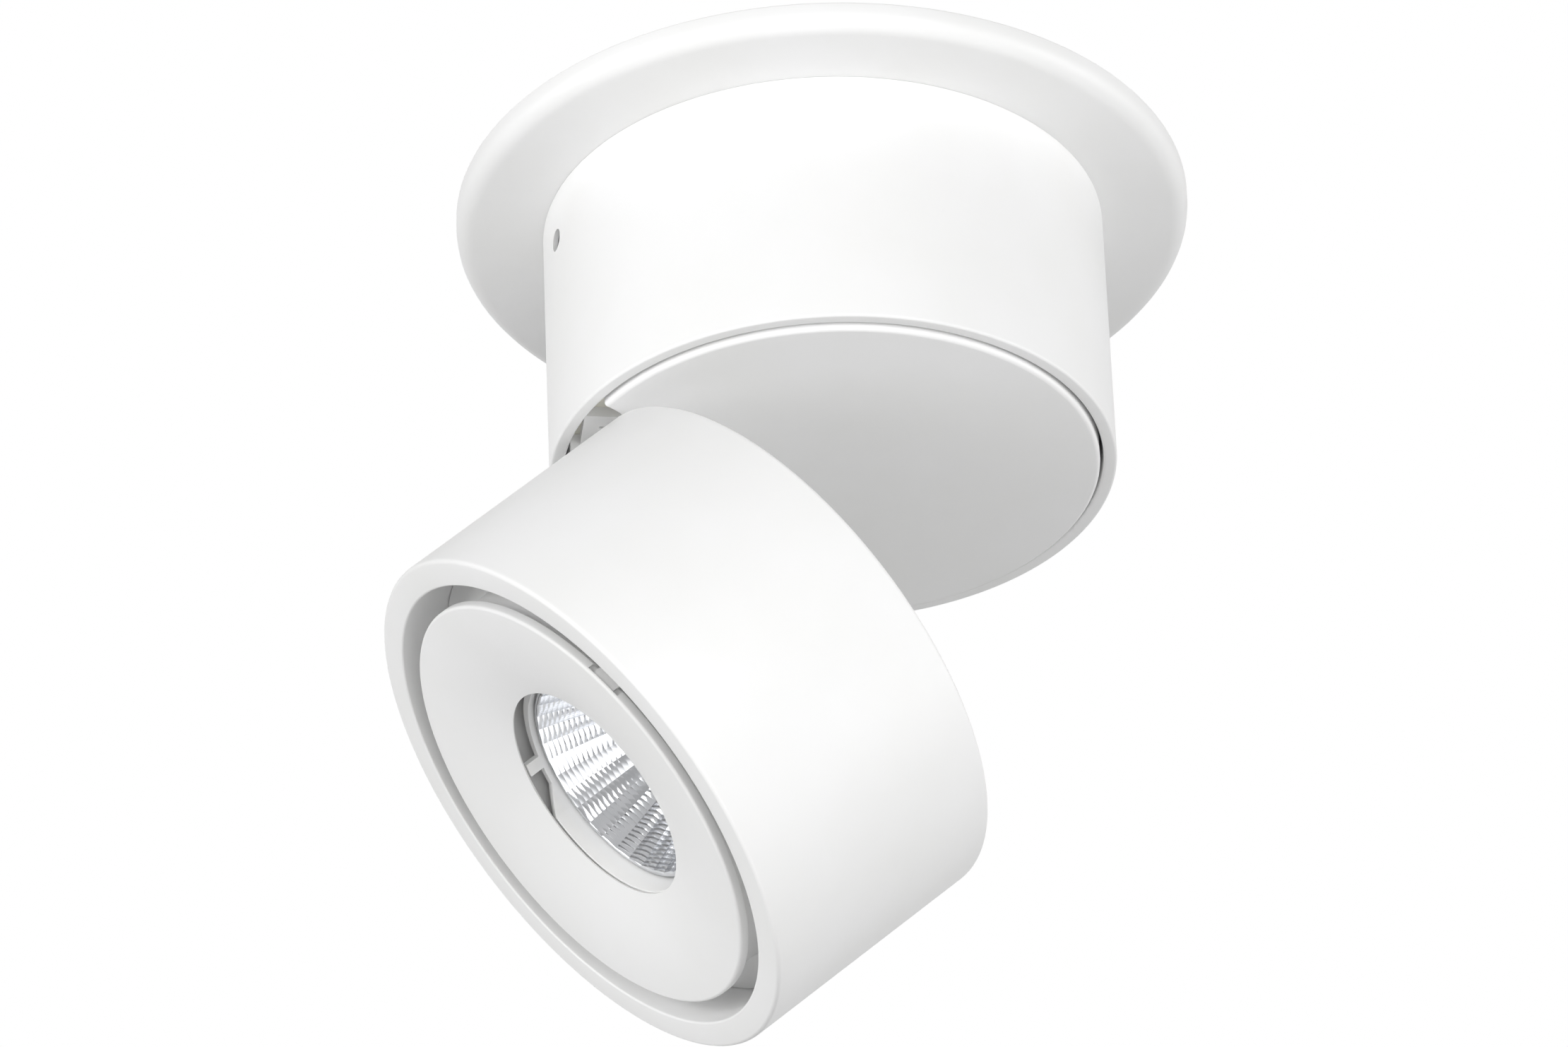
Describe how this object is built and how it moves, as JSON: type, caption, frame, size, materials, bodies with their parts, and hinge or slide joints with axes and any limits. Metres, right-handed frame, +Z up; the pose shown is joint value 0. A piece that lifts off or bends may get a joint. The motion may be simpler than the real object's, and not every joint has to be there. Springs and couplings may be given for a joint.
{
  "type": "ceiling spot light",
  "caption": "Surface-mounted ceiling spot light: a round flange and drum carry a lamp head that turns on a disc and tilts out on a side hinge, with a faceted reflector in a dished baffle.",
  "frame": {"origin": "middle of the ceiling bracket's upper face, which lies on the ceiling, between the two fixing slots", "axes": "+Z up into the ceiling and along the turning axis, X along the line of the two fixing slots, and the head tilts towards -X at rest"},
  "size_m": [0.1449, 0.1308, 0.162],
  "materials": {
    "white_coat": "white powder coat, satin",
    "zinc_steel": "zinc-plated steel",
    "dark_steel": "black oxide",
    "bare_aluminium": "bare machined or cast",
    "primed_aluminium": "cast, with a pale primer",
    "brass": "bare",
    "black_rubber": "matt",
    "driver_plastic": "moulded, fine texture",
    "ivory_plastic": "moulded nylon",
    "white_plastic": "moulded, satin",
    "circuit_board": "solder mask",
    "brown_insulation": "PVC insulation",
    "black_insulation": "PVC sheath",
    "ceramic": "white ceramic",
    "phosphor": "silicone with phosphor",
    "metallised": "bright metallised facets"
  },
  "bodies": {
    "fixed_drum": {"ceiling_bracket": "zinc_steel", "cable_grommet": "black_rubber", "earth_screw": "brass", "ceiling_flange": "white_coat", "drum_housing": "white_coat", "set_screws": "dark_steel", "stop_pin": "zinc_steel", "driver_case": "driver_plastic", "driver_lid": "driver_plastic", "driver_board": "circuit_board", "driver_screws": "zinc_steel", "terminal_block": "ivory_plastic", "terminal_screws": "brass", "mains_leads": "brown_insulation", "output_lead": "black_insulation"},
    "turning_disc": {"rotor_base": "primed_aluminium", "rotor_cover": "white_coat", "rotor_screws": "zinc_steel", "hollow_shaft": "bare_aluminium", "shaft_screws": "zinc_steel", "thrust_washer": "ivory_plastic", "wave_washer": "zinc_steel", "lock_nut": "bare_aluminium", "hinge_arm": "white_coat", "hinge_arm_screws": "white_coat", "rotor_lead": "black_insulation"},
    "lamp_head": {"head_housing": "white_coat", "heat_sink": "primed_aluminium", "heat_sink_screws": "zinc_steel", "rear_cover": "white_coat", "rear_cover_screws": "zinc_steel", "hinge_bracket": "zinc_steel", "hinge_bracket_screws": "zinc_steel", "hinge_pin": "zinc_steel", "hinge_nut": "zinc_steel", "hinge_washers": "ivory_plastic", "led_board": "ceramic", "led_chip": "phosphor", "led_holder": "white_plastic", "holder_screws": "zinc_steel", "led_lead": "black_insulation", "reflector": "metallised", "reflector_collar": "white_plastic", "front_baffle": "white_coat", "baffle_clips": "white_coat"}
  },
  "joints": [
    {"name": "rotor_turn", "type": "hinge", "parent": "fixed_drum", "child": "turning_disc", "pos_m": [0, 0, -0.045], "axis": [0, 0, 1], "range_deg": [-173, 173]},
    {"name": "head_tilt", "type": "hinge", "parent": "turning_disc", "child": "lamp_head", "pos_m": [-0.0426, 0, -0.0643], "axis": [0, 1, 0], "range_deg": [-48.8, 41.2]}
  ]
}
